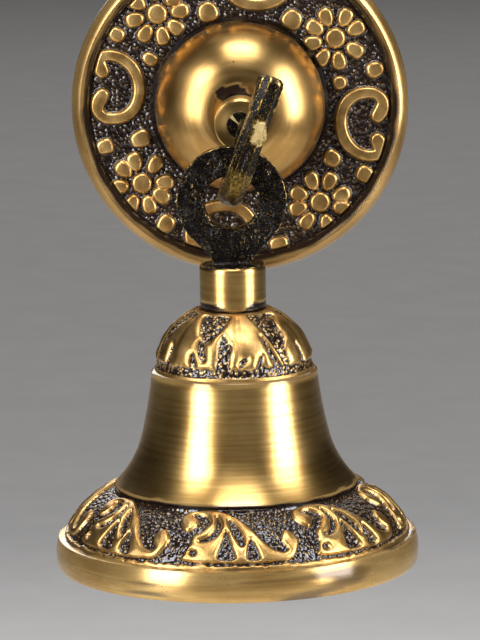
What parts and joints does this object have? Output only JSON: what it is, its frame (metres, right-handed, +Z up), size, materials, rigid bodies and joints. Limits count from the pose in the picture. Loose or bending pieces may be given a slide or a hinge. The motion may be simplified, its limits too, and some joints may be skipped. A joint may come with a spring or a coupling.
{
  "type": "temple bell",
  "caption": "Brass temple bell with a ring eye, hung from an open hook on a round ornamented wall rosette, with a free clapper inside.",
  "frame": {"origin": "where the axis of the hook's threaded stud crosses the wall plane, which is the back of the rosette's rim", "axes": "+Y into the wall along the stud, +Z up, the bell hanging down on the -Y side, +X to the right as seen from the room"},
  "size_m": [0.1022, 0.1428, 0.1714],
  "materials": {
    "antique_brass_cast": "cast brass, black patina in the recesses, raised work rubbed bright",
    "brushed_brass": "turned and brushed antique brass under clear lacquer",
    "black_patina_casting": "rough sand casting, glossy black patina, brass showing at worn edges",
    "zinc_steel": "zinc-plated steel fixing",
    "fibre_washer": "pressed fibre",
    "plain_brass": "dull unlacquered brass"
  },
  "bodies": {
    "wall_bracket": {"rosette": "antique_brass_cast", "hook": "black_patina_casting", "hook_collar": "brushed_brass", "hook_washer": "zinc_steel", "hook_nut": "zinc_steel"},
    "bell": {"hanger": "black_patina_casting", "bell_shell": "antique_brass_cast", "crown_washer": "fibre_washer", "crown_nut": "zinc_steel", "clapper_eyebolt": "zinc_steel"},
    "link": {"clapper_link": "zinc_steel"},
    "clapper": {"clapper_rod": "zinc_steel", "clapper_ball": "plain_brass", "clapper_end_nut": "plain_brass"}
  },
  "joints": [
    {"name": "bell_swing", "type": "hinge", "parent": "wall_bracket", "child": "bell", "pos_m": [-0.0029, -0.054, -0.0188], "axis": [0, 1, 0], "range_deg": [-30, 30]},
    {"name": "link_swing", "type": "hinge", "parent": "bell", "child": "link", "pos_m": [-0.0029, -0.054, -0.066], "axis": [0, 1, 0], "range_deg": [-31, 31]},
    {"name": "clapper_swing", "type": "hinge", "parent": "link", "child": "clapper", "pos_m": [-0.0029, -0.054, -0.0731], "axis": [1, 0, 0], "range_deg": [-8, 8]}
  ]
}
